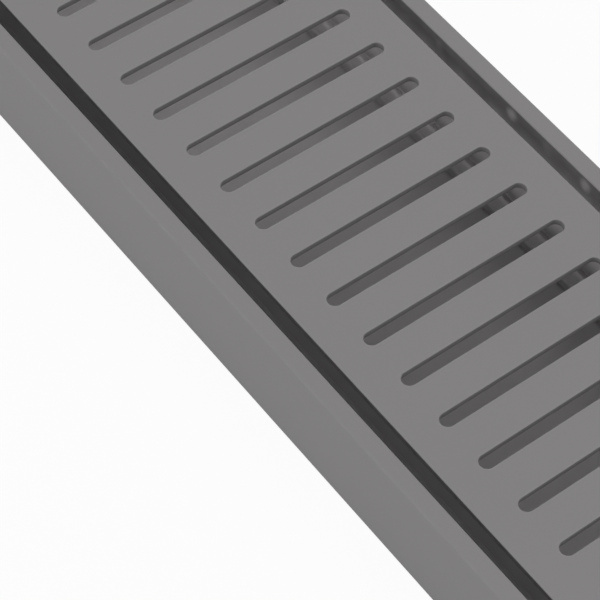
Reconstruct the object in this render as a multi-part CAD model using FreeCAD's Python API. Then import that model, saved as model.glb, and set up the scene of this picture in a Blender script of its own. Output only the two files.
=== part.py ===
"""Channel drain: a shallow extruded trough with a slotted grate set flush in it.

Millimetres. X runs along the drain, Y across it and Z up. The origin is the
middle of the underside. Every separate piece is written to its own STEP file.
"""

import FreeCAD, Part
import os

from FreeCAD import Vector

# ---------------------------------------------------------------- dimensions

# The whole drain.
LENGTH = 600.0
WIDTH = 100.0
HEIGHT = 29.0

# What is seen from above: rim, open gap, then the grate with its slots.
RIM_WIDTH = 5.0
SIDE_GAP = 4.5
SLOT_COUNT = 40
SLOT_PITCH = 14.35
SLOT_WIDTH = 4.0
SLOT_LENGTH = 62.0
GRATE_THICKNESS = 2.0
GRATE_CORNER = 1.5
BROKEN_EDGE = 0.3

# The trough's extruded section.
SKIN = 1.4
RIM_ROOF = 1.8
FLOOR_LAND = 3.0
FLOOR_VALLEY = 2.0
VALLEY_HALF_WIDTH = 25.0
OUTER_CORNER = 0.4
CHAMBER_CORNER = 0.6
RIB_THICKNESS = 1.4
RIB_HEIGHT = 2.5
RIB_ROUND = 0.5
PORT_RADIUS = 3.0
PORT_BORE = 1.45
PORT_SINK = 0.6
PORT_MOUTH = 1.6
OUTLET_RADIUS = 29.0
OUTLET_SLOT_STEP = 14.5

# The ends.
CAP_THICKNESS = 3.0
CAP_CHAMFER = 0.4
GASKET_THICKNESS = 1.0
TONGUE_LENGTH = 6.0
TONGUE_HEIGHT = 18.0
TONGUE_PLAY = 0.1
SCREW_CLEARANCE = 1.9
SCREW_SHANK = 1.4
SCREW_LENGTH = 16.0
SCREW_HEAD = 3.3
SINK_RADIUS = 3.5
RECESS_SPAN = 3.4
RECESS_WIDTH = 0.8
RECESS_DEPTH = 1.1

# What carries the grate.
BEARER_STEPS = (-19, -10, 10, 19)
BEARER_WIDTH = 8.0
BEARER_THICKNESS = 2.5
BEARER_HALF_SPAN = 31.0
BEND_INSIDE = 1.5
BOOT_WALL = 1.4
BOOT_SOLE = 1.5
BOOT_HEIGHT = 7.0
BOOT_CHAMFER = 0.8
BOOT_PLAY = 0.6

# ------------------------------------------------------------ derived values

HALF_WIDTH = WIDTH / 2
MOUTH_HALF = HALF_WIDTH - RIM_WIDTH
GRATE_WIDTH = 2 * (MOUTH_HALF - SIDE_GAP)
GRATE_MARGIN = (GRATE_WIDTH - SLOT_LENGTH) / 2
GRATE_LENGTH = (SLOT_COUNT - 1) * SLOT_PITCH + SLOT_WIDTH + 2 * GRATE_MARGIN
GRATE_UNDERSIDE = HEIGHT - GRATE_THICKNESS
TROUGH_HALF = LENGTH / 2 - CAP_THICKNESS - GASKET_THICKNESS
CHAMBER_MIDDLE = HALF_WIDTH - RIM_WIDTH / 2
CHAMBER_WIDTH = RIM_WIDTH - 2 * SKIN
CHAMBER_FOOT = FLOOR_LAND + 1.0
CHAMBER_TOP = HEIGHT - RIM_ROOF
PORT_Y = MOUTH_HALF - PORT_RADIUS + PORT_SINK
PORT_Z = FLOOR_LAND + PORT_RADIUS - PORT_SINK
BEARER_UNDERSIDE = GRATE_UNDERSIDE - BEARER_THICKNESS
BOOT_OUTSIDE = BEARER_HALF_SPAN + BOOT_WALL
RIB_INSIDE = BOOT_OUTSIDE + BOOT_PLAY
OUTLET_X = OUTLET_SLOT_STEP * SLOT_PITCH
BEARER_X = [step * SLOT_PITCH for step in BEARER_STEPS]

ALONG = Vector(1, 0, 0)
UP = Vector(0, 0, 1)


# ------------------------------------------------------------------- helpers

def both_sides(half):
    """Close a half outline, given as (y, z) points with y >= 0, by mirroring it."""
    return half + [(-y, z) for y, z in reversed(half) if y > 0]


def prism(outline, start, end):
    """Extrude an outline of (y, z) points along X."""
    corners = [Vector(start, y, z) for y, z in outline]
    wire = Part.makePolygon(corners + corners[:1])
    return Part.Face(wire).extrude(ALONG * (end - start))


def rectangle(y_low, y_high, z_low, z_high):
    """The four (y, z) corners of a rectangle."""
    return [(y_low, z_low), (y_high, z_low), (y_high, z_high), (y_low, z_high)]


def rod(start, direction, radius, length):
    """A round bar from a point."""
    return Part.makeCylinder(radius, length, start, direction)


def edges_along(shape, direction, at=None):
    """Straight edges parallel to a direction, all or only those through one of some points."""
    found = []
    for edge in shape.Edges:
        if not isinstance(edge.Curve, Part.Line):
            continue
        if abs(edge.Curve.Direction.dot(direction)) < 0.999:
            continue
        middle = edge.CenterOfMass
        offsets = [(middle - point).cross(direction).Length for point in at or [middle]]
        if min(offsets) < 0.01:
            found.append(edge)
    return found


def round_along(shape, direction, radius, at=None):
    """Round the chosen straight edges."""
    return shape.makeFillet(radius, edges_along(shape, direction, at))


def turned(shape):
    """A copy turned half a turn about Z, for the other end of the drain."""
    copy = shape.copy()
    copy.rotate(Vector(0, 0, 0), UP, 180)
    return copy


def save(node, shape):
    """Write one node, after checking that it is made of closed solids."""
    shape = shape.removeSplitter()
    if not shape.isValid() or not shape.Solids:
        raise ValueError(node + " is not a valid solid")
    if len(shape.Solids) == 1:
        shape = shape.Solids[0]
    shape.exportStep("parts/" + node + ".step")
    print("%-18s %3d solid(s) %12.1f mm3" % (node, len(shape.Solids), shape.Volume))


# -------------------------------------------------------------------- trough

def screw_port(side):
    """A round port along the foot of one wall, open to the underside so that water can't reach it."""
    axis = Vector(-TROUGH_HALF, side * PORT_Y, PORT_Z)
    boss = rod(axis, ALONG, PORT_RADIUS, 2 * TROUGH_HALF)
    bore = rod(axis, ALONG, PORT_BORE, 2 * TROUGH_HALF)
    mouth = rectangle(side * PORT_Y - PORT_MOUTH / 2, side * PORT_Y + PORT_MOUTH / 2, -1, PORT_Z)
    return boss, bore.fuse(prism(mouth, -TROUGH_HALF, TROUGH_HALF))


def wall_chamber(side):
    """The hollow inside one wall, which keeps the thick rim light."""
    middle = side * CHAMBER_MIDDLE
    outline = rectangle(middle - CHAMBER_WIDTH / 2, middle + CHAMBER_WIDTH / 2, CHAMBER_FOOT, CHAMBER_TOP)
    return round_along(prism(outline, -TROUGH_HALF, TROUGH_HALF), ALONG, CHAMBER_CORNER)


def locating_rib(side):
    """A low rib on the floor that keeps the grate's feet in line."""
    y_low, y_high = sorted((side * RIB_INSIDE, side * (RIB_INSIDE + RIB_THICKNESS)))
    top = FLOOR_LAND + RIB_HEIGHT
    rib = prism(rectangle(y_low, y_high, FLOOR_VALLEY, top), -TROUGH_HALF, TROUGH_HALF)
    return round_along(rib, ALONG, RIB_ROUND, [Vector(0, y_low, top), Vector(0, y_high, top)])


def trough():
    """The extruded trough: hollow walls with a flat rim, and a floor that falls to its middle."""
    body = prism(rectangle(-HALF_WIDTH, HALF_WIDTH, 0, HEIGHT), -TROUGH_HALF, TROUGH_HALF)
    corners = [Vector(0, y, z) for y in (-HALF_WIDTH, HALF_WIDTH) for z in (0, HEIGHT)]
    body = round_along(body, ALONG, OUTER_CORNER, corners)

    waterway = both_sides([
        (0, FLOOR_VALLEY),
        (VALLEY_HALF_WIDTH, FLOOR_LAND),
        (MOUTH_HALF, FLOOR_LAND),
        (MOUTH_HALF, HEIGHT - BROKEN_EDGE),
        (MOUTH_HALF + BROKEN_EDGE, HEIGHT),
        (MOUTH_HALF + BROKEN_EDGE, HEIGHT + 1),
    ])
    body = body.cut(prism(waterway, -TROUGH_HALF, TROUGH_HALF))

    for side in (-1, 1):
        boss, bore = screw_port(side)
        body = body.fuse([boss, locating_rib(side)])
        body = body.cut([bore, wall_chamber(side)])

    outlet = rod(Vector(OUTLET_X, 0, -1), UP, OUTLET_RADIUS, FLOOR_LAND + RIB_HEIGHT + 2)
    return body.cut(outlet)


# ---------------------------------------------------------------------- ends

def end_plate(thickness, start):
    """A flat plate with the trough's outline, standing across its end."""
    plate = prism(rectangle(-HALF_WIDTH, HALF_WIDTH, 0, HEIGHT), start, start + thickness)
    return round_along(plate, ALONG, OUTER_CORNER)


def tongue(side):
    """A tongue of the end cap that plugs into a wall's hollow."""
    half = CHAMBER_WIDTH / 2 - TONGUE_PLAY
    foot = (CHAMBER_FOOT + CHAMBER_TOP - TONGUE_HEIGHT) / 2
    outline = rectangle(side * CHAMBER_MIDDLE - half, side * CHAMBER_MIDDLE + half, foot, foot + TONGUE_HEIGHT)
    return prism(outline, TROUGH_HALF - TONGUE_LENGTH, TROUGH_HALF + GASKET_THICKNESS)


def end_cap():
    """The cap at the +X end, with two tongues and two countersunk screw holes."""
    start = TROUGH_HALF + GASKET_THICKNESS
    outer_face = start + CAP_THICKNESS
    plate = end_plate(CAP_THICKNESS, start)
    rim = [edge for edge in plate.Edges if edge.BoundBox.XMin > outer_face - 0.01]
    plate = plate.makeChamfer(CAP_CHAMFER, rim)
    for side in (-1, 1):
        hole = rod(Vector(start, side * PORT_Y, PORT_Z), ALONG, SCREW_CLEARANCE, CAP_THICKNESS)
        sink_depth = SINK_RADIUS - SCREW_CLEARANCE
        sink = Part.makeCone(SCREW_CLEARANCE, SINK_RADIUS, sink_depth,
                             Vector(outer_face - sink_depth, side * PORT_Y, PORT_Z), ALONG)
        plate = plate.fuse(tongue(side))
        plate = plate.cut([hole, sink])
    return plate


def end_gasket():
    """The rubber sheet between the trough and the cap at the +X end."""
    sheet = end_plate(GASKET_THICKNESS, TROUGH_HALF)
    for side in (-1, 1):
        hole = rod(Vector(TROUGH_HALF, side * PORT_Y, PORT_Z), ALONG, SCREW_CLEARANCE, GASKET_THICKNESS)
        sheet = sheet.cut([hole, tongue(side)])
    return sheet


def end_screw(side):
    """One countersunk, blunt-ended screw of the cap at the +X end, with a cross recess."""
    head_face = LENGTH / 2 - (SINK_RADIUS - SCREW_HEAD)
    head_depth = SCREW_HEAD - SCREW_SHANK
    foot = Vector(head_face - SCREW_LENGTH, side * PORT_Y, PORT_Z)
    neck = Vector(head_face - head_depth, side * PORT_Y, PORT_Z)
    shank = rod(foot, ALONG, SCREW_SHANK, SCREW_LENGTH - head_depth)
    screw = shank.fuse(Part.makeCone(SCREW_SHANK, SCREW_HEAD, head_depth, neck, ALONG))
    for span_y, span_z in ((RECESS_SPAN, RECESS_WIDTH), (RECESS_WIDTH, RECESS_SPAN)):
        corner = Vector(head_face - RECESS_DEPTH, side * PORT_Y - span_y / 2, PORT_Z - span_z / 2)
        screw = screw.cut(Part.makeBox(RECESS_DEPTH + 1, span_y, span_z, corner))
    return screw.removeSplitter()


# --------------------------------------------------------------------- grate

def slot_wire(middle):
    """The outline of one slot across the grate, with full round ends."""
    radius = SLOT_WIDTH / 2
    reach = SLOT_LENGTH / 2 - radius
    z = GRATE_UNDERSIDE
    far = Part.Arc(Vector(middle - radius, reach, z), Vector(middle, reach + radius, z),
                   Vector(middle + radius, reach, z))
    near = Part.Arc(Vector(middle + radius, -reach, z), Vector(middle, -reach - radius, z),
                    Vector(middle - radius, -reach, z))
    right = Part.LineSegment(far.EndPoint, near.StartPoint)
    left = Part.LineSegment(near.EndPoint, far.StartPoint)
    return Part.Wire([curve.toShape() for curve in (far, right, near, left)])


def grate():
    """The flat plate with its row of slots; the plate's own upper edge is lightly broken."""
    low = Vector(-GRATE_LENGTH / 2, -GRATE_WIDTH / 2, GRATE_UNDERSIDE)
    plate = Part.makeBox(GRATE_LENGTH, GRATE_WIDTH, GRATE_THICKNESS, low)
    plate = round_along(plate, UP, GRATE_CORNER)
    upper = [edge for edge in plate.Edges if edge.BoundBox.ZMin > HEIGHT - 0.01]
    plate = plate.makeChamfer(BROKEN_EDGE, upper)
    first = -(SLOT_COUNT - 1) * SLOT_PITCH / 2
    cutters = []
    for number in range(SLOT_COUNT):
        outline = Part.Face(slot_wire(first + number * SLOT_PITCH))
        cutters.append(outline.extrude(Vector(0, 0, GRATE_THICKNESS)))
    return plate.cut(cutters)


# ----------------------------------------------------- bearers and their feet

def bearer(x):
    """A strip bent like a staple under one land of the grate, its legs in the waterway."""
    leg_foot = FLOOR_LAND + BOOT_SOLE
    leg_inside = BEARER_HALF_SPAN - BEARER_THICKNESS
    outline = both_sides([
        (BEARER_HALF_SPAN, GRATE_UNDERSIDE),
        (BEARER_HALF_SPAN, leg_foot),
        (leg_inside, leg_foot),
        (leg_inside, BEARER_UNDERSIDE),
    ])
    strip = prism(outline, x - BEARER_WIDTH / 2, x + BEARER_WIDTH / 2)
    for side in (-1, 1):
        strip = round_along(strip, ALONG, BEND_INSIDE, [Vector(x, side * leg_inside, BEARER_UNDERSIDE)])
        outer_bend = [Vector(x, side * BEARER_HALF_SPAN, GRATE_UNDERSIDE)]
        strip = round_along(strip, ALONG, BEND_INSIDE + BEARER_THICKNESS, outer_bend)
    return strip


def boot(x, side):
    """A rubber shoe pushed onto one leg of a bearer."""
    half_length = BEARER_WIDTH / 2 + BOOT_WALL
    y_low, y_high = sorted((side * BOOT_OUTSIDE, side * (BEARER_HALF_SPAN - BEARER_THICKNESS - BOOT_WALL)))
    block = Part.makeBox(2 * half_length, y_high - y_low, BOOT_HEIGHT, Vector(x - half_length, y_low, FLOOR_LAND))
    block = block.makeChamfer(BOOT_CHAMFER, edges_along(block, UP))
    pocket = Part.makeBox(BEARER_WIDTH, BEARER_THICKNESS, BOOT_HEIGHT,
                          Vector(x - BEARER_WIDTH / 2, y_low + BOOT_WALL, FLOOR_LAND + BOOT_SOLE))
    return block.cut(pocket)


# --------------------------------------------------------------------- build

def main():
    os.makedirs("parts", exist_ok=True)
    save("trough", trough())
    save("grate", grate())

    right_cap = end_cap()
    right_gasket = end_gasket()
    save("end_cap_right", right_cap)
    save("end_cap_left", turned(right_cap))
    save("end_gasket_right", right_gasket)
    save("end_gasket_left", turned(right_gasket))
    right_screws = [end_screw(side) for side in (-1, 1)]
    save("end_cap_screws", Part.makeCompound(right_screws + [turned(screw) for screw in right_screws]))

    feet = [(x, side) for x in BEARER_X for side in (-1, 1)]
    for number, x in enumerate(BEARER_X, 1):
        save("grate_bearer_%d" % number, bearer(x))
    for number, place in enumerate(feet, 1):
        save("bearer_boot_%d" % number, boot(*place))


main()
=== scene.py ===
# %% [markdown]
# # A channel drain, dressed for the studio
# The drain is a long, shallow aluminium trough with a slotted plate lying flush in it.
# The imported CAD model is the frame. It holds every piece in metres, at its true place.
# This script gives each piece its finish. It remakes the slotted plate with soft edges and
# the screws with threads, and sets a floor, lamps and a camera round the drain.

# %% Load the frame
import math

import bmesh
import bpy
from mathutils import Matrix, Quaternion, Vector


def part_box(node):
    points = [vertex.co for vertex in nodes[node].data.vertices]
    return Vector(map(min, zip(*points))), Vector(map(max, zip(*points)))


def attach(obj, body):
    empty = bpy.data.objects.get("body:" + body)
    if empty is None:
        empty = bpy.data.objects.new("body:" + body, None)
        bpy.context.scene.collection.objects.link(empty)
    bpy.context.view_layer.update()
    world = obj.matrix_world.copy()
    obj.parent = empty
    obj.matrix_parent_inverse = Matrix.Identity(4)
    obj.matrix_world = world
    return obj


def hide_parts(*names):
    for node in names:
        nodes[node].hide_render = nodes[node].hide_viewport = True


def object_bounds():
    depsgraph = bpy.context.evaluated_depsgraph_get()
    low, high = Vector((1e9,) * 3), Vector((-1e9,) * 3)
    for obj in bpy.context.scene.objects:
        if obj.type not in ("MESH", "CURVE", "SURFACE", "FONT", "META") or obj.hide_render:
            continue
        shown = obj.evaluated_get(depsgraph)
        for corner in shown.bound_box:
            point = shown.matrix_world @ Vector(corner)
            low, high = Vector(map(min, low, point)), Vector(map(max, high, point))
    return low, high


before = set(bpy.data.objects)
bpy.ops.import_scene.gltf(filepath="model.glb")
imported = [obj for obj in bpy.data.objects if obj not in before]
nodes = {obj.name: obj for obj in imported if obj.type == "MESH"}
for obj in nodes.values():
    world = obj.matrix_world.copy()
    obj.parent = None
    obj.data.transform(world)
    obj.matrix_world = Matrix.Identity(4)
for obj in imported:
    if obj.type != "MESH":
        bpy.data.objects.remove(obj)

MM = 0.001
print(len(nodes), "pieces in the frame:", ", ".join(sorted(nodes)))

# %% [markdown]
# The drain's box is measured now and printed.

# %% Measure the frame
frame_low, frame_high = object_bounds()
print("frame box, mm:", [round(v / MM, 2) for v in (*frame_low, *frame_high)])

# %% [markdown]
# ## Node trees written as sums
# A finish is a small calculation, made at each point of a surface. Wired by hand it
# becomes a page of boxes. Here an output socket is wrapped in a class that knows the
# signs + - * and /, and each sign adds one Math node. The reflected forms let a number
# stand on the left, as in `1 - wear`. Numbers alone are worked out by Python, so a tree
# only holds what really changes over the surface. The class serves the materials and the
# Geometry Nodes alike.


# %% A socket that can be reckoned with
class Value:
    """An output socket. Signs between it and a number or another socket add Math nodes."""

    def __init__(self, sheet, socket):
        self.sheet = sheet
        self.socket = socket

    def maths(self, operation, *values):
        inputs = dict(enumerate(values or [self]))
        return self.sheet.add("ShaderNodeMath", {"operation": operation}, inputs)[0]

    def __add__(self, other):
        return self.maths("ADD", self, other)

    def __radd__(self, other):
        return self.maths("ADD", other, self)

    def __sub__(self, other):
        return self.maths("SUBTRACT", self, other)

    def __rsub__(self, other):
        return self.maths("SUBTRACT", other, self)

    def __mul__(self, other):
        return self.maths("MULTIPLY", self, other)

    def __rmul__(self, other):
        return self.maths("MULTIPLY", other, self)

    def __truediv__(self, other):
        return self.maths("DIVIDE", self, other)

    def __neg__(self):
        return self.maths("MULTIPLY", self, -1.0)

    def __gt__(self, other):
        return self.maths("GREATER_THAN", self, other)

    def __lt__(self, other):
        return self.maths("LESS_THAN", self, other)

    def __abs__(self):
        return self.maths("ABSOLUTE")

    def at_least(self, other):
        return self.maths("MAXIMUM", self, other)

    def at_most(self, other):
        return self.maths("MINIMUM", self, other)

    def rises(self, start, end):
        """0 up to start, 1 from end on, and smooth in between."""
        settings = {"interpolation_type": "SMOOTHSTEP"}
        values = {"Value": self, "From Min": start, "From Max": end}
        return self.sheet.add("ShaderNodeMapRange", settings, values)[0]


print("a Value adds its own Math nodes")

# %% [markdown]
# Every other node comes from one method. It takes the node's type, its settings, and the
# values or links of its sockets. The settings go first, because some of them, such as the
# kind of a Mix node, decide which sockets there are.


# %% A sheet that nodes are written on
class Sheet:
    """A node tree that is being written."""

    def __init__(self, tree):
        self.tree = tree
        tree.nodes.clear()

    def add(self, kind, settings=None, inputs=None):
        node = self.tree.nodes.new(kind)
        for name, value in (settings or {}).items():
            setattr(node, name, value)
        for key, value in (inputs or {}).items():
            for one in value if isinstance(value, list) else [value]:
                self.feed(node.inputs[key], one)
        return Outputs(self, node)

    def feed(self, socket, value):
        if isinstance(value, Value):
            self.tree.links.new(value.socket, socket)
        else:
            socket.default_value = value


class Outputs:
    """The outputs of one node, by name or number, each as a Value."""

    def __init__(self, sheet, node):
        self.sheet = sheet
        self.node = node

    def __getitem__(self, key):
        return Value(self.sheet, self.node.outputs[key])


print("a Sheet adds any node by its type")

# %% [markdown]
# ## What every finish needs
# Each finish starts from a point's place on the piece, in metres. Those are Object
# coordinates. A piece's object sits at the origin, so they are the drain's own
# coordinates too: x along it, y across it, z up. Noise gives the small differences that
# tell a real surface from a flat colour, and its size is given in metres, as one would
# measure it with a rule.


# %% Helpers for a finish
def new_material(name):
    """An empty material and the sheet for its nodes."""
    material = bpy.data.materials.new(name)
    material.use_nodes = True
    return material, Sheet(material.node_tree)


def place_on_piece(sheet):
    """A point's place as a vector, and its x, y and z apart."""
    place = sheet.add("ShaderNodeTexCoord")["Object"]
    apart = sheet.add("ShaderNodeSeparateXYZ", None, {0: place})
    return place, apart["X"], apart["Y"], apart["Z"]


def noise(place, size, detail=2.0, seed=0.0):
    """Smooth noise from 0 to 1, with features about `size` metres across."""
    values = {"Vector": place, "W": seed, "Scale": 1.0 / size, "Detail": detail}
    return place.sheet.add("ShaderNodeTexNoise", {"noise_dimensions": "4D"}, values)["Fac"]


def times(colour, tone):
    """A colour, lightened or darkened by a Value."""
    settings = {"operation": "SCALE"}
    return tone.sheet.add("ShaderNodeVectorMath", settings, {0: colour, "Scale": tone})[0]


def finish_material(material, sheet, surface):
    """Join the last shader to the material's output."""
    sheet.add("ShaderNodeOutputMaterial", None, {"Surface": surface})
    print("finish:", material.name, "with", len(material.node_tree.nodes), "nodes")
    return material


print("each finish will print its name and how many nodes it has")

# %% [markdown]
# ## The powder coat
# The trough, the plate and the end caps share one finish, a matte gunmetal powder coat.
# Powder is sprayed on dry and melts in an oven, so it never flows quite level. It keeps a
# faint orange peel: shallow bumps a millimetre or so across. On top of that lies a finer
# grain, and the colour clouds a little over a hand's breadth. The coat is thin on sharp
# edges, which turn a little paler and smoother as hands rub them.
#
# One function makes the coat. Each piece passes it two rules of its own: where its edges
# are, and where light and shade are painted into the coat's colour, lighter or darker than
# usual. An image could hold the same marks, but a rule is sharp at any distance and needs
# no unwrapping.

# %% The coat's colours
GUNMETAL = (0.222, 0.215, 0.218)
RUBBED_EDGE = (0.30, 0.295, 0.30, 1.0)
print("gunmetal coat", GUNMETAL, "paler where rubbed", RUBBED_EDGE[:3])


# %% The coat
def powder_coat(name, edges, tone):
    """Matte coat. edges(x, y, z) is 1 on the edges, and tone(place, x, y, z) paints light and shade
    into the colour.
    """
    material, sheet = new_material(name)
    place, x, y, z = place_on_piece(sheet)
    cloud = noise(place, 45 * MM, 3.0)
    peel = noise(place, 1.3 * MM)
    grain = noise(place, 0.3 * MM, 1.0)
    rubbed = edges(x, y, z) * noise(place, 6 * MM, 3.0).rises(0.2, 0.8)

    # tone paints each piece's light and shade into the coat's colour.
    strength = (0.965 + cloud * 0.05 + grain * 0.02) * tone(place, x, y, z)
    mix = {"Factor": rubbed * 0.12, 6: times(GUNMETAL, strength), 7: RUBBED_EDGE}
    colour = sheet.add("ShaderNodeMix", {"data_type": "RGBA"}, mix)[2]
    bump = {"Strength": 0.35, "Distance": 0.03 * MM, "Height": peel + grain * 0.25}
    shader = sheet.add("ShaderNodeBsdfPrincipled", None, {
        "Base Color": colour,
        "Roughness": 0.56 + cloud * 0.06 + grain * 0.05 - rubbed * 0.12,
        "Specular IOR Level": 0.35,
        "Normal": sheet.add("ShaderNodeBump", None, bump)["Normal"],
    })
    return finish_material(material, sheet, shader["BSDF"])


# %% [markdown]
# ## The slotted plate
# The plate follows a rule, one row of crosswise slots at an even pitch, so it is a fair
# job for Geometry Nodes. Booleans could cut the slots, but they leave razor edges, and a
# coated edge is soft. So nothing is cut here. Each slot is drawn as an outline, and a
# small section with rounded corners is swept round it. The same is done round the plate.
# What then lies open above and below is filled flat.
#
# Its outside sizes come from the frame. The slots' own sizes are given, and the pitch
# follows from them.

# %% Sizes of the plate
plate_low, plate_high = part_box("grate")
plate_length, plate_width, plate_thickness = plate_high - plate_low
SLOT_COUNT = 40
SLOT_WIDTH = 4 * MM
SLOT_LENGTH = 62 * MM
slot_margin = (plate_width - SLOT_LENGTH) / 2
slot_pitch = (plate_length - 2 * slot_margin - SLOT_WIDTH) / (SLOT_COUNT - 1)
print("plate, mm:", [round(side / MM, 2) for side in (plate_length, plate_width, plate_thickness)])
print("slot pitch, mm: %.3f" % (slot_pitch / MM))

# %% [markdown]
# A tree's inputs are its named sizes. They are declared first, so that each can be given
# to the modifier by its socket's identifier.

# %% The plate's tree and its inputs
plate_sizes = {
    "Length": plate_length,
    "Width": plate_width,
    "Thickness": plate_thickness,
    "Top": plate_high.z,
    "Corner Radius": 1.5 * MM,
    "Edge Round": 0.3 * MM,
    "Slot Pitch": slot_pitch,
    "Slot Width": SLOT_WIDTH,
    "Slot Length": SLOT_LENGTH,
    "Slot Round": 0.22 * MM,
}
plate_tree = bpy.data.node_groups.new("slotted plate", "GeometryNodeTree")
plate_tree.is_modifier = True
for title in plate_sizes:
    plate_tree.interface.new_socket(title, in_out="INPUT", socket_type="NodeSocketFloat")
plate_tree.interface.new_socket("Slot Count", in_out="INPUT", socket_type="NodeSocketInt")
plate_tree.interface.new_socket("Finish", in_out="INPUT", socket_type="NodeSocketMaterial")
plate_tree.interface.new_socket("Plate", in_out="OUTPUT", socket_type="NodeSocketGeometry")
plate_sheet = Sheet(plate_tree)
given = plate_sheet.add("NodeGroupInput")
print("the plate's tree takes", len(plate_tree.interface.items_tree) - 1, "inputs")

# %% [markdown]
# The section runs down the edge of the plate: a quarter round at the top, the upright
# wall, and a quarter round at the bottom. A straight line is cut into enough points, and
# each is then moved by its number. Points of the upper half turn through a right angle
# round the upper corner, and those of the lower half round the lower one. The sign
# `into_plate` says on which side of the outline the metal lies: outside a slot, but
# inside the plate's own edge.

# %% The section of an edge
ROUND_STEPS = 4


def edge_section(sheet, radius, thickness, into_plate):
    """An open curve down the plate's edge, with a quarter round at each end."""
    line = sheet.add("GeometryNodeCurvePrimitiveLine")["Curve"]
    cut = {"Curve": line, "Count": 2 * (ROUND_STEPS + 1)}
    line = sheet.add("GeometryNodeResampleCurve", {"mode": "COUNT"}, cut)[0]
    number = sheet.add("GeometryNodeInputIndex")[0]
    lower = number > ROUND_STEPS + 0.5
    angle = (number - lower * (ROUND_STEPS + 1)) * (math.pi / 2 / ROUND_STEPS)
    sine, cosine = angle.maths("SINE"), angle.maths("COSINE")
    aside = (1 - sine) * (1 - lower) + (1 - cosine) * lower
    down = (1 - cosine) * radius * (1 - lower) + (thickness - radius + sine * radius) * lower
    place = sheet.add("ShaderNodeCombineXYZ", None, {"X": aside * radius * into_plate, "Y": down})[0]
    return sheet.add("GeometryNodeSetPosition", None, {0: line, "Position": place})[0]


print("an edge's section has", 2 * (ROUND_STEPS + 1), "points")

# %% [markdown]
# An outline is a rectangle with rounded corners. For a slot the corner radius is a hair
# under half its width, which makes both ends half circles. The plate's outline runs the
# same way round, but its metal lies on the other side, so the slot's faces have to be
# turned over.

# %% Walls round the slots and round the plate
WELD_DISTANCE = 0.004 * MM
NEARLY_HALF = 0.4998
SLOT_END_STEPS = 12
PLATE_CORNER_STEPS = 10


def swept_edge(sheet, width, length, corner, corner_steps, section):
    """The wall round a rounded rectangle: the section swept round its outline."""
    sides = {"Width": width, "Height": length}
    outline = sheet.add("GeometryNodeCurvePrimitiveQuadrilateral", {"mode": "RECTANGLE"}, sides)[0]
    rounding = {"Curve": outline, "Count": corner_steps, "Radius": corner}
    outline = sheet.add("GeometryNodeFilletCurve", {"mode": "POLY"}, rounding)[0]
    sweep = {"Curve": outline, "Profile Curve": section}
    wall = sheet.add("GeometryNodeCurveToMesh", None, sweep)[0]
    weld = {"Geometry": wall, "Distance": WELD_DISTANCE}
    return sheet.add("GeometryNodeMergeByDistance", None, weld)[0]


slot_section = edge_section(plate_sheet, given["Slot Round"], given["Thickness"], 1)
slot_wall = swept_edge(plate_sheet, given["Slot Width"], given["Slot Length"],
                       given["Slot Width"] * NEARLY_HALF, SLOT_END_STEPS, slot_section)
slot_wall = plate_sheet.add("GeometryNodeFlipFaces", None, {0: slot_wall})[0]
rim_section = edge_section(plate_sheet, given["Edge Round"], given["Thickness"], -1)
rim_wall = swept_edge(plate_sheet, given["Length"], given["Width"],
                      given["Corner Radius"], PLATE_CORNER_STEPS, rim_section)
print("two walls are swept: one slot's and the plate's own")

# %% [markdown]
# One slot is enough. It is placed at each point of a straight row, and Realize Instances
# turns the copies into real faces, which the flat filling needs to meet.

# %% The row of slots
row_start = given["Slot Pitch"] * (given["Slot Count"] - 1) * -0.5
row_sizes = {
    "Count": given["Slot Count"],
    "Start Location": plate_sheet.add("ShaderNodeCombineXYZ", None, {"X": row_start})[0],
    "Offset": plate_sheet.add("ShaderNodeCombineXYZ", None, {"X": given["Slot Pitch"]})[0],
}
row = plate_sheet.add("GeometryNodeMeshLine", {"mode": "OFFSET"}, row_sizes)[0]
slots = plate_sheet.add("GeometryNodeInstanceOnPoints", None, {"Points": row, "Instance": slot_wall})[0]
slots = plate_sheet.add("GeometryNodeRealizeInstances", None, {0: slots})[0]
walls = plate_sheet.add("GeometryNodeJoinGeometry", None, {0: [slots, rim_wall]})[0]
walls = plate_sheet.add("GeometryNodeSetShadeSmooth", None, {0: walls, "Shade Smooth": True})[0]
print("the slots stand in one row,", SLOT_COUNT, "of them")

# %% [markdown]
# The upper and lower edges of the walls belong to one face each. Turned into curves, they
# bound the flat top and underside. Every point of the filling then lies on a point of the
# walls, and once the doubles are merged the plate is closed.


# %% The flat top and underside
def flat_face(sheet, level, upward):
    """The flat face bounded by the walls' open edges at one level."""
    place = sheet.add("GeometryNodeInputPosition")[0]
    height = sheet.add("ShaderNodeSeparateXYZ", None, {0: place})["Z"]
    here = abs(height - level) < 0.002 * MM
    single = sheet.add("GeometryNodeInputMeshEdgeNeighbors")[0] < 1.5
    bound = sheet.add("GeometryNodeMeshToCurve", None, {"Mesh": walls, "Selection": here * single})[0]
    face = sheet.add("GeometryNodeFillCurve", {"mode": "TRIANGLES"}, {"Curve": bound})[0]
    lift = sheet.add("ShaderNodeCombineXYZ", None, {"Z": level})[0]
    face = sheet.add("GeometryNodeTransform", None, {"Geometry": face, "Translation": lift})[0]
    if not upward:
        face = sheet.add("GeometryNodeFlipFaces", None, {0: face})[0]
    return sheet.add("GeometryNodeSetShadeSmooth", None, {0: face, "Shade Smooth": False})[0]


top_face = flat_face(plate_sheet, 0.0, True)
under_face = flat_face(plate_sheet, given["Thickness"] * -1.0, False)
print("top and underside are filled between the walls")

# %% [markdown]
# The parts of the plate are joined, lifted to their height and given their finish inside
# the tree. Realize Instances stands last but one, because what is still an instance would
# be missing from an exported model.

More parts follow.
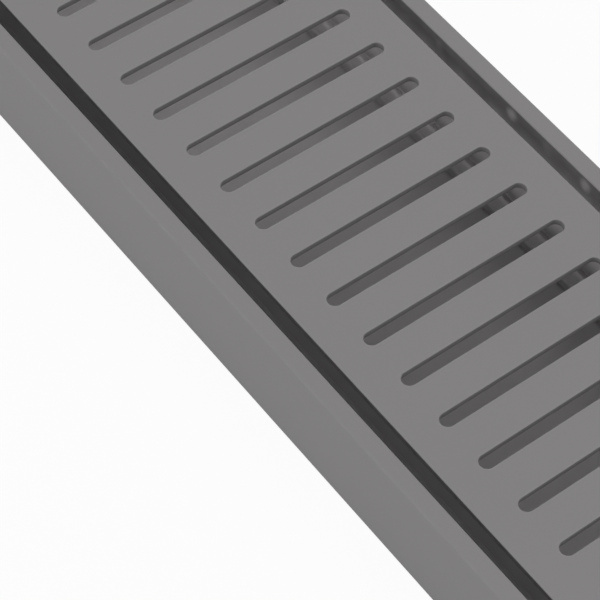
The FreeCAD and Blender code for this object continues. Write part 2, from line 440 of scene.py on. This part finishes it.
# %% The end of the plate's tree
whole = plate_sheet.add("GeometryNodeJoinGeometry", None, {0: [walls, top_face, under_face]})[0]
weld = {"Geometry": whole, "Distance": WELD_DISTANCE}
whole = plate_sheet.add("GeometryNodeMergeByDistance", None, weld)[0]
to_top = plate_sheet.add("ShaderNodeCombineXYZ", None, {"Z": given["Top"]})[0]
whole = plate_sheet.add("GeometryNodeTransform", None, {"Geometry": whole, "Translation": to_top})[0]
whole = plate_sheet.add("GeometryNodeRealizeInstances", None, {0: whole})[0]
whole = plate_sheet.add("GeometryNodeSetMaterial", None, {0: whole, "Material": given["Finish"]})[0]
plate_sheet.add("NodeGroupOutput", None, {0: whole})
print("the plate's tree has", len(plate_tree.nodes), "nodes")

# %% [markdown]
# ## The plate's finish
# The coat wears along the slots' edges and along the plate's own. How far a point is from
# the nearest slot can be worked out for all slots at once: x is folded into one pitch,
# and the rest of the way is measured from the slot's middle line. The faces below the top
# are painted darker as painted shade: the slots' walls a little, and the outer faces, deep
# in the gap, much darker.


# %% Where the plate's edges are, and where shade is painted on its coat
def plate_edges(x, y, z):
    """1 along the slots' edges and round the plate."""
    across = ((x / slot_pitch + SLOT_COUNT / 2).maths("FRACT") - 0.5) * slot_pitch
    beyond = (abs(y) - (SLOT_LENGTH - SLOT_WIDTH) / 2).at_least(0.0)
    from_middle = (across * across + beyond * beyond).maths("SQRT")
    from_slot = abs(from_middle - SLOT_WIDTH / 2)
    from_side = abs(abs(y) - plate_width / 2)
    from_end = abs(abs(x) - plate_length / 2)
    return 1 - from_slot.at_most(from_side).at_most(from_end).rises(0.1 * MM, 0.9 * MM)


def plate_painted_shade(place, x, y, z):
    """Painted shade: a little darker on the slots' walls and underside, much darker on the plate's
    outer faces.
    """
    below = (plate_high.z - z).rises(0.15 * MM, 0.35 * MM)
    outer = abs(y).rises(plate_width / 2 - 0.35 * MM, plate_width / 2 - 0.1 * MM)
    return 1 - below * (0.12 + outer * 0.65)


plate_coat = powder_coat("gunmetal coat on the plate", plate_edges, plate_painted_shade)


# %% [markdown]
# The tree is run once on an empty object. What it makes is kept as a plain mesh, and the
# modifier goes with the object that carried it. A closed mesh has two faces on every
# edge, and its volume is positive if all faces point outwards, so both are measured.


# %% Run a tree and keep its mesh
def plain_piece(name, tree, inputs):
    """Evaluate a tree with these inputs and keep the result as an object with a plain mesh."""
    maker = bpy.data.objects.new("maker", bpy.data.meshes.new("maker"))
    bpy.context.scene.collection.objects.link(maker)
    modifier = maker.modifiers.new("tree", "NODES")
    modifier.node_group = tree
    for item in tree.interface.items_tree:
        if item.in_out == "INPUT":
            modifier[item.identifier] = inputs[item.name]
    graph = bpy.context.evaluated_depsgraph_get()
    mesh = bpy.data.meshes.new_from_object(maker.evaluated_get(graph))
    bpy.data.objects.remove(maker)
    piece = bpy.data.objects.new(name, mesh)
    bpy.context.scene.collection.objects.link(piece)
    return piece


def measure(piece):
    """Print a piece's triangles, open edges and volume."""
    work = bmesh.new()
    work.from_mesh(piece.data)
    triangles = sum(len(face.verts) - 2 for face in work.faces)
    open_edges = sum(len(edge.link_faces) != 2 for edge in work.edges)
    volume = work.calc_volume(signed=True) / MM ** 3
    print("%s: %d triangles, %d open edges, %.0f mm3" % (piece.name, triangles, open_edges, volume))
    work.free()


plate_inputs = {**plate_sizes, "Slot Count": SLOT_COUNT, "Finish": plate_coat}
plate = plain_piece("slotted_plate", plate_tree, plate_inputs)
measure(plate)
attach(plate, "root")
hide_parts("grate")

# %% [markdown]
# ## The trough
# The trough's shape is right in the frame, so it stays as it is and only gets its coat.
# Its rim is rubbed along two edges: the outer corner and the mouth.


# %% Where the trough's edges are
trough_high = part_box("trough")[1]
RIM_WIDTH = 5 * MM
wall_inside = trough_high.y - RIM_WIDTH


def trough_edges(x, y, z):
    """1 along the outer and inner edges of the rim."""
    from_outer = abs(abs(y) - trough_high.y)
    from_inner = abs(abs(y) - wall_inside)
    near_top = 1 - (trough_high.z - z).rises(0.2 * MM, 0.9 * MM)
    return (1 - from_outer.at_most(from_inner).rises(0.1 * MM, 0.8 * MM)) * near_top


print("the trough's inner walls stand %.1f mm apart" % (2 * wall_inside / MM))


# %% [markdown]
# Inside, light and shade are painted into the coat's colour. The next three rules each
# return a factor for its colour. The first is for the walls. Painted shade makes them
# darkest under the lip, and painted light makes them pale within the next few millimetres.
# Soft pale spots of painted light lie on them opposite the lands between the slots,
# standing for light that reaches the walls through the slots. The spots need the same
# folding of x as the slots' edges, and a slow noise decides which of them are strong. Its
# seed is fixed, so they stay where they are.

# %% The walls inside
LIGHT_SPOT_DEPTH = 3 * MM


def painted_light_spots(place, x, z):
    """Painted light: soft pale spots on the walls, one opposite each land."""
    folded = (x / slot_pitch + SLOT_COUNT / 2).maths("FRACT")
    along = folded.at_most(1 - folded) * slot_pitch
    down = z - (trough_high.z - LIGHT_SPOT_DEPTH)
    reach = (along * along + down * down).maths("SQRT")
    strong = noise(place, 22 * MM, 0.0, seed=146).rises(0.42, 0.62)
    return (1 - reach.rises(0.4 * MM, 2.8 * MM)) * strong


def wall_light_and_shade(place, x, z):
    """Painted shade under the lip, painted light further down and towards the outlet, with spots of
    painted light.
    """
    down_wall = 0.5 + (trough_high.z - z).rises(0.5 * MM, 9 * MM) * 1.9
    along_wall = 1 + x.rises(-60 * MM, 50 * MM) * 0.35
    patches = 0.78 + noise(place, 6 * MM, 1.0) * 0.5
    return down_wall * along_wall * (patches + painted_light_spots(place, x, z) * 1.5)


# The pale spots on the walls are painted light.
print("painted light spots lie %.0f mm below the rim" % (LIGHT_SPOT_DEPTH / MM))

# %% [markdown]
# The second rule is for the floor. It is painted paler than the coat, as painted light that
# stands for the light coming in through the slots and the gaps. It is palest on the near
# side of the valley and less pale across it, and less pale again along the trough, towards
# the outlet. Outside the valley it is less pale still. The lanes beside the walls are
# painted paler too.


# %% The floor inside
VALLEY_LIGHT = 2.1
LIGHT_FAR_FROM_OUTLET = 1.22


def floor_painted_light(x, y, z):
    """Painted light: pale in the valley and in the lanes beside the walls, and less so towards the
    outlet.
    """
    valley = y.rises(-27 * MM, -21 * MM) * VALLEY_LIGHT - y.rises(6 * MM, 30 * MM) * 0.92
    near_lane = (-y).rises(33 * MM, 38 * MM) * 1.4
    far_lane = y.rises(37.5 * MM, 39.5 * MM) * (1 - z.rises(4.5 * MM, 6.5 * MM)) * 1.2
    run = x.rises(-60 * MM, 20 * MM)
    out_of_valley = (-y).rises(26 * MM, 30 * MM)
    light_along = LIGHT_FAR_FROM_OUTLET - run * 0.42 + out_of_valley * (run * 0.62 - 0.27)
    return (1 + valley + near_lane + far_lane) * light_along


print("the floor is up to %.1f times as pale as the coat" % ((1 + VALLEY_LIGHT) * LIGHT_FAR_FROM_OUTLET))

# %% [markdown]
# The third rule blends the two where the walls meet the floor. It also keeps both off
# the rim, the outside and the underside, where the factor is 1 and no light or shade is painted.


# %% The trough's coat
def trough_light_and_shade(place, x, y, z):
    """The walls' and the floor's painted light and shade inside, and 1 everywhere else."""
    above_floor = z.rises(6 * MM, 12 * MM)
    tone = floor_painted_light(x, y, z) * (1 - above_floor) + wall_light_and_shade(place, x, z) * above_floor
    between_walls = 1 - abs(y).rises(wall_inside + 0.1 * MM, wall_inside + 0.4 * MM)
    below_rim = (trough_high.z - z).rises(0.1 * MM, 0.4 * MM)
    above_underside = z.rises(1.0 * MM, 1.8 * MM)
    return 1 + (tone - 1) * between_walls * below_rim * above_underside


trough_coat = powder_coat("gunmetal coat on the trough", trough_edges, trough_light_and_shade)

# %% [markdown]
# ## The end caps
# The caps are flat plates, coated on their own before they are screwed on. Their outer
# edges are chamfered and show most of the handling.


# %% The caps' coat
def cap_edges(x, y, z):
    """1 along the outer edges of a cap."""
    from_face = abs(abs(x) - frame_high.x)
    from_top = abs(z - frame_high.z).at_most(abs(abs(y) - frame_high.y))
    return (1 - from_face.rises(0.1 * MM, 0.7 * MM)) * (1 - from_top.rises(0.1 * MM, 0.8 * MM))


def cap_painted_shade(place, x, y, z):
    """Painted shade: nearly even, a little darker on the inner face."""
    return 1 - (frame_high.x - abs(x)).rises(2.5 * MM, 3.2 * MM) * 0.3


cap_coat = powder_coat("gunmetal coat on the caps", cap_edges, cap_painted_shade)

# %% [markdown]
# A piece of the frame is never moved, and its mesh is never changed. It is dressed by
# putting a material in its own slots.


# %% Dress the coated pieces
def dress(starts, material):
    """Give one material to every piece of the frame whose name starts in one of these ways."""
    chosen = [piece for name, piece in nodes.items() if name.startswith(starts)]
    for piece in chosen:
        if not piece.material_slots:
            piece.data.materials.append(material)
        for place in piece.material_slots:
            place.material = material
    print(material.name, "on", len(chosen), "piece(s)")


dress(("trough",), trough_coat)
dress(("end_cap_left", "end_cap_right"), cap_coat)

# %% [markdown]
# ## Rubber
# The gaskets are cut from sheet, and the boots are moulded. Both are black rubber. Its
# skin has a fine grain and is never one flat black: wax blooms to the surface in pale
# clouds, which are also a little rougher.


# %% Black rubber
def rubber():
    material, sheet = new_material("black rubber")
    place, x, y, z = place_on_piece(sheet)
    skin = noise(place, 0.25 * MM)
    bloom = noise(place, 9 * MM, 3.0)
    bump = {"Strength": 0.5, "Distance": 0.03 * MM, "Height": skin}
    shader = sheet.add("ShaderNodeBsdfPrincipled", None, {
        "Base Color": times((0.022, 0.022, 0.023), 0.8 + bloom * 0.4),
        "Roughness": 0.62 + bloom * 0.2,
        "Normal": sheet.add("ShaderNodeBump", None, bump)["Normal"],
    })
    return finish_material(material, sheet, shader["BSDF"])


dress(("end_gasket", "bearer_boot"), rubber())

# %% [markdown]
# ## Bare metal
# The bearers are bent from mill-finished aluminium strip, and the screws are stainless
# steel. Rolled or turned metal is streaked the way it was worked. Noise gives streaks
# when a Mapping node stretches it along one axis. For the bearers that is y, the length
# of the strip. A screw was turned about its own axis, so its streaks run across x. The
# steel is darker just below the head's face, down to the depth of the recess.


# %% Aluminium and steel
def bare_metal(name, colour, roughness, stretch, darkening=None):
    """Metal streaked along the axes where stretch is small. darkening(x) is 1 where it is darkest."""
    material, sheet = new_material(name)
    place, x, y, z = place_on_piece(sheet)
    drawn = sheet.add("ShaderNodeMapping", None, {"Vector": place, "Scale": stretch})[0]
    streaks = noise(drawn, 0.4 * MM, 3.0)
    cloud = noise(place, 12 * MM, 3.0)
    tone = 0.9 + streaks * 0.12 + cloud * 0.08
    if darkening:
        tone = tone * (1 - darkening(x) * 0.8)
    bump = {"Strength": 0.3, "Distance": 0.01 * MM, "Height": streaks}
    shader = sheet.add("ShaderNodeBsdfPrincipled", None, {
        "Base Color": times(colour, tone),
        "Metallic": 1.0,
        "Roughness": roughness + streaks * 0.12 + cloud * 0.08,
        "Normal": sheet.add("ShaderNodeBump", None, bump)["Normal"],
    })
    return finish_material(material, sheet, shader["BSDF"])


def darker_below_face(x):
    """1 in the recess, 0 on the head's face and along the thread."""
    below_face = screws_high.x - abs(x)
    return below_face.rises(0.1 * MM, 0.9 * MM) * (1 - below_face.rises(1.15 * MM, 1.3 * MM))


screws_low, screws_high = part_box("end_cap_screws")
mill_aluminium = bare_metal("mill aluminium", (0.80, 0.80, 0.81), 0.34, (1.0, 0.04, 1.0))
stainless = bare_metal("stainless steel", (0.58, 0.57, 0.56), 0.26, (1.0, 0.3, 0.3), darker_below_face)
dress(("grate_bearer",), mill_aluminium)

# %% [markdown]
# ## The screws
# Four countersunk screws hold the caps. They cut their own thread in the trough's ports.
# The frame's screws are plain, so they are made again with a thread, a softened head and
# a tapered cross recess. A screw is made once and placed four times, which is work for
# Geometry Nodes.

# %% Sizes of a screw
head_radius = (screws_high.z - screws_low.z) / 2
screw_sizes = {
    "Head Radius": head_radius,
    "Head Round": 0.2 * MM,
    "Length": 16 * MM,
    "Root Radius": 1.1 * MM,
    "Crest Radius": 1.4 * MM,
    "Thread Pitch": 1.2 * MM,
    "Recess Span": 3.4 * MM,
    "Recess Width": 0.8 * MM,
    "Recess Depth": 1.1 * MM,
    "Face From Middle": screws_high.x,
    "Port From Middle": screws_high.y - head_radius,
    "Port Height": (screws_low.z + screws_high.z) / 2,
}
screw_tree = bpy.data.node_groups.new("end cap screws", "GeometryNodeTree")
screw_tree.is_modifier = True
for title in screw_sizes:
    screw_tree.interface.new_socket(title, in_out="INPUT", socket_type="NodeSocketFloat")
screw_tree.interface.new_socket("Turn Seed", in_out="INPUT", socket_type="NodeSocketInt")
screw_tree.interface.new_socket("Finish", in_out="INPUT", socket_type="NodeSocketMaterial")
screw_tree.interface.new_socket("Screws", in_out="OUTPUT", socket_type="NodeSocketGeometry")
screw_sheet = Sheet(screw_tree)
screw = screw_sheet.add("NodeGroupInput")
print("a screw's head is %.1f mm across" % (2 * head_radius / MM))

# %% [markdown]
# The blank is a flat grid of points wrapped round an axis. Its columns become angles and
# its rows depths below the head's face, and a formula gives the radius. The head is a
# cone that narrows by as much as it deepens. The thread is a ridge whose place depends on
# depth and angle together, so it climbs by one pitch in each turn. Whichever of the two
# is wider shows. The first rows spread over the head's face, and the last one closes the
# blunt end. The ridge's foot takes up a given share of the pitch.

# %% The threaded blank
COLUMNS = 32
ROWS = 130
FACE_ROWS = 3
RIDGE_SHARE = 0.625
flat = screw_sheet.add("GeometryNodeMeshGrid", None, {
    "Size X": 1.0, "Size Y": 1.0, "Vertices X": COLUMNS + 1, "Vertices Y": ROWS})["Mesh"]
on_grid = screw_sheet.add("GeometryNodeInputPosition")[0]
on_grid = screw_sheet.add("ShaderNodeSeparateXYZ", None, {0: on_grid})
turn = on_grid["X"] + 0.5
row_number = (on_grid["Y"] + 0.5) * (ROWS - 1)
depth = (row_number - FACE_ROWS).at_least(0.0) * (screw["Length"] / (ROWS - FACE_ROWS - 2))
depth = depth.at_most(screw["Length"])

softened = 1 - (depth / screw["Head Round"]).at_most(1.0)
head = screw["Head Radius"] - depth - screw["Head Round"] * softened * softened
along_thread = (depth / screw["Thread Pitch"] - turn).maths("FRACT")
ridge = (1 - abs(along_thread - 0.5) * (2 / RIDGE_SHARE)).at_least(0.0)
ridge = ridge * (1 - depth.rises(screw["Length"] - screw["Thread Pitch"] * 1.5, screw["Length"]))
thread = screw["Root Radius"] + (screw["Crest Radius"] - screw["Root Radius"]) * ridge
spread = (row_number / FACE_ROWS).at_most(1.0) * (row_number < ROWS - 1.5)
radius = head.at_least(thread) * spread

angle = 2 * math.pi * turn
wrapped = {"X": angle.maths("COSINE") * radius, "Y": angle.maths("SINE") * radius, "Z": -depth}
wrapped = screw_sheet.add("ShaderNodeCombineXYZ", None, wrapped)[0]
blank = screw_sheet.add("GeometryNodeSetPosition", None, {0: flat, "Position": wrapped})[0]
weld = {"Geometry": blank, "Distance": WELD_DISTANCE}
blank = screw_sheet.add("GeometryNodeMergeByDistance", None, weld)[0]
print("the blank is a grid of", COLUMNS, "by", ROWS, "points")

# %% [markdown]
# A punch presses the cross into the head. Here two bars are cut out of it. Each is
# narrower at the bottom, as a driver's tip is.

# %% The cross recess
PUNCH_TAPER = 0.3


def punch(sheet, along_x, along_y, deep):
    """A bar through the head's face, tapered downwards."""
    size = sheet.add("ShaderNodeCombineXYZ", None, {"X": along_x, "Y": along_y, "Z": deep * 2})[0]
    bar = sheet.add("GeometryNodeMeshCube", None, {"Size": size})["Mesh"]
    place = sheet.add("GeometryNodeInputPosition")[0]
    corner = sheet.add("ShaderNodeSeparateXYZ", None, {0: place})
    taper = corner["Z"] / deep * PUNCH_TAPER + 1
    tapered = {"X": corner["X"] * taper, "Y": corner["Y"] * taper, "Z": corner["Z"]}
    tapered = sheet.add("ShaderNodeCombineXYZ", None, tapered)[0]
    return sheet.add("GeometryNodeSetPosition", None, {0: bar, "Position": tapered})[0]


bars = [punch(screw_sheet, screw["Recess Span"], screw["Recess Width"], screw["Recess Depth"]),
        punch(screw_sheet, screw["Recess Width"], screw["Recess Span"], screw["Recess Depth"])]
cut = {"operation": "DIFFERENCE", "solver": "EXACT"}
one_screw = screw_sheet.add("GeometryNodeMeshBoolean", cut, {"Mesh 1": blank, "Mesh 2": bars})["Mesh"]
print("two bars make the cross recess")

# %% [markdown]
# The cut leaves sharp edges, and smooth shading would smear light over them. So edges
# that turn by more than thirty degrees are marked sharp, and all others stay smooth.

# %% Smooth metal, sharp edges
one_screw = screw_sheet.add("GeometryNodeSetShadeSmooth", None, {0: one_screw, "Shade Smooth": True})[0]
bend = screw_sheet.add("GeometryNodeInputMeshEdgeAngle")["Unsigned Angle"]
one_screw = screw_sheet.add("GeometryNodeSetShadeSmooth", {"domain": "EDGE"}, {
    0: one_screw, "Selection": bend > math.radians(30), "Shade Smooth": False})[0]
print("edges over 30 degrees are sharp")

# %% [markdown]
# A grid of two by two points, as long and as wide as the screws lie apart, gives the four
# places. Each screw is turned to face outwards, and then round its own axis by an amount
# of its own, since nobody drives four screws to the same angle. The seed keeps those
# turns the same in every run.

# %% Place the screws
corners = screw_sheet.add("GeometryNodeMeshGrid", None, {
    "Size X": screw["Face From Middle"] * 2, "Size Y": screw["Port From Middle"] * 2,
    "Vertices X": 2, "Vertices Y": 2})["Mesh"]
at_corner = screw_sheet.add("GeometryNodeInputPosition")[0]
end = screw_sheet.add("ShaderNodeSeparateXYZ", None, {0: at_corner})["X"].maths("SIGN")
outwards = screw_sheet.add("ShaderNodeCombineXYZ", None, {"Y": end * (math.pi / 2)})[0]
four = screw_sheet.add("GeometryNodeInstanceOnPoints", None, {
    "Points": corners, "Instance": one_screw, "Rotation": outwards})[0]
turns = screw_sheet.add("FunctionNodeRandomValue", {"data_type": "FLOAT"}, {
    2: 0.0, 3: math.pi / 2, "Seed": screw["Turn Seed"]})[1]
driven = screw_sheet.add("ShaderNodeCombineXYZ", None, {"Z": turns})[0]
four = screw_sheet.add("GeometryNodeRotateInstances", None, {
    "Instances": four, "Rotation": driven, "Local Space": True})[0]
print("four places, one at each corner of the drain")

# %% [markdown]
# The screws are lifted to their height and made real, as the plate was. Then the tree is
# run, and the threaded screws take the place of the plain ones.

# %% The end of the screws' tree
lift = screw_sheet.add("ShaderNodeCombineXYZ", None, {"Z": screw["Port Height"]})[0]
four = screw_sheet.add("GeometryNodeTransform", None, {"Geometry": four, "Translation": lift})[0]
four = screw_sheet.add("GeometryNodeRealizeInstances", None, {0: four})[0]
four = screw_sheet.add("GeometryNodeSetMaterial", None, {0: four, "Material": screw["Finish"]})[0]
screw_sheet.add("NodeGroupOutput", None, {0: four})
screw_inputs = {**screw_sizes, "Turn Seed": 5, "Finish": stainless}
screws = plain_piece("threaded_screws", screw_tree, screw_inputs)
measure(screws)
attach(screws, "root")
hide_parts("end_cap_screws")

# %% [markdown]
# ## The studio
# The drain lies on a sheet of pale paper that should look white while the drain keeps its
# own colour. More light would not do, because it would also fade the drain. Instead the
# paper looks different to different rays. Light Path tells which rays come from the
# camera, from a gloss or through glass, and those see white with a little of the plain
# paper in it. All other rays meet plain paper. Under the drain every ray meets plain
# paper, so its shadow stays.


# %% The floor
def ray_seen(sheet):
    """1 for rays that show the surroundings: from the camera, in a gloss, or through glass."""
    path = sheet.add("ShaderNodeLightPath")
    return path["Is Camera Ray"].at_least(path["Is Glossy Ray"]).at_least(path["Is Transmission Ray"])


def studio_paper():
    material, sheet = new_material("studio paper")
    place, x, y, z = place_on_piece(sheet)
    fibre = noise(place, 3 * MM, 3.0)
    grey = times((0.62, 0.62, 0.62), 0.99 + fibre * 0.02)
    paper = sheet.add("ShaderNodeBsdfDiffuse", None, {"Color": grey})[0]
    white = sheet.add("ShaderNodeEmission", None, {"Color": (1.0, 1.0, 1.0, 1.0), "Strength": 1.0})[0]
    beyond = (abs(x) - frame_high.x).at_least(abs(y) - frame_high.y)
    clear = beyond.rises(-3 * MM, 0.4 * MM)
    lit = ray_seen(sheet) * clear * 0.95
    mixed = sheet.add("ShaderNodeMixShader", None, {0: lit, 1: paper, 2: white})[0]
    return finish_material(material, sheet, mixed)


FLOOR_HALF = 6.0
floor_mesh = bpy.data.meshes.new("studio_floor")
floor_corners = [(-FLOOR_HALF, -FLOOR_HALF, 0), (FLOOR_HALF, -FLOOR_HALF, 0),
                 (FLOOR_HALF, FLOOR_HALF, 0), (-FLOOR_HALF, FLOOR_HALF, 0)]
floor_mesh.from_pydata(floor_corners, [], [(0, 1, 2, 3)])
floor_mesh.materials.append(studio_paper())
floor = bpy.data.objects.new("studio_floor", floor_mesh)
bpy.context.scene.collection.objects.link(floor)
print("floor, m:", 2 * FLOOR_HALF, "square")

# %% [markdown]
# The air of the room lights the drain evenly from all sides at about half of the whole
# strength. To the camera it is white, as the paper is, so that no horizon shows.

# %% The air
world = bpy.data.worlds.new("studio air")
world.use_nodes = True
bpy.context.scene.world = world
air = Sheet(world.node_tree)
glow = air.add("ShaderNodeBackground", None, {"Color": (1.0, 1.0, 1.0, 1.0), "Strength": 0.55})[0]
white = air.add("ShaderNodeBackground", None, {"Color": (0.98, 0.98, 0.98, 1.0), "Strength": 1.0})[0]
mixed = air.add("ShaderNodeMixShader", None, {0: ray_seen(air), 1: glow, 2: white})[0]
air.add("ShaderNodeOutputWorld", None, {"Surface": mixed})
print("the air gives 0.55 of the light")

# %% [markdown]
# Three large softboxes give the other half. One hangs overhead. One stands low before the
# near side and one behind the far side, so that the upright walls come out nearly as
# light as the top. Together they bring a colour out about as it is written.


# %% The lamps
def softbox(name, place, size, watts):
    """A square area lamp that faces the drain's middle."""
    lamp = bpy.data.lights.new(name, "AREA")
    lamp.shape = "SQUARE"
    lamp.size = size
    lamp.energy = watts
    box = bpy.data.objects.new(name, lamp)
    bpy.context.scene.collection.objects.link(box)
    box.location = place
    box.rotation_euler = (Vector((0, 0, 0.02)) - Vector(place)).to_track_quat("-Z", "Y").to_euler()
    print("%s: %.1f m square, %.1f W" % (name, size, watts))


softbox("overhead_box", (0.5, 0.4, 2.2), 1.5, 12.5)
softbox("near_box", (-0.5, -2.2, 0.9), 1.4, 15.5)
softbox("far_box", (0.9, 2.2, 0.9), 1.4, 10.0)

# %% [markdown]
# ## The camera
# A long lens looks down on the middle of the drain at a steep slant and sees a stretch of
# it, both ends outside the frame. The camera is placed by what it looks at and from which
# side and height, and then rolled a little about its own line of sight.

# %% The camera
AIM = Vector((16.9, -36.0, 29.0)) * MM
DISTANCE = 645.3 * MM
AZIMUTH = math.radians(49.97)
ELEVATION = math.radians(53.53)
ROLL = math.radians(3.41)
back = Vector((math.sin(AZIMUTH) * math.cos(ELEVATION), -math.cos(AZIMUTH) * math.cos(ELEVATION),
               math.sin(ELEVATION)))
lens = bpy.data.cameras.new("studio_camera")
lens.sensor_width = 36.0
lens.lens = 161.2
lens.clip_start = 0.01
lens.clip_end = 30.0
camera = bpy.data.objects.new("studio_camera", lens)
bpy.context.scene.collection.objects.link(camera)
camera.location = AIM + back * DISTANCE
camera.rotation_mode = "QUATERNION"
camera.rotation_quaternion = (-back).to_track_quat("-Z", "Y") @ Quaternion((0, 0, 1), ROLL)
bpy.context.scene.camera = camera
bpy.context.scene.view_settings.view_transform = "Standard"
print("camera at, mm:", [round(v / MM, 1) for v in camera.location])
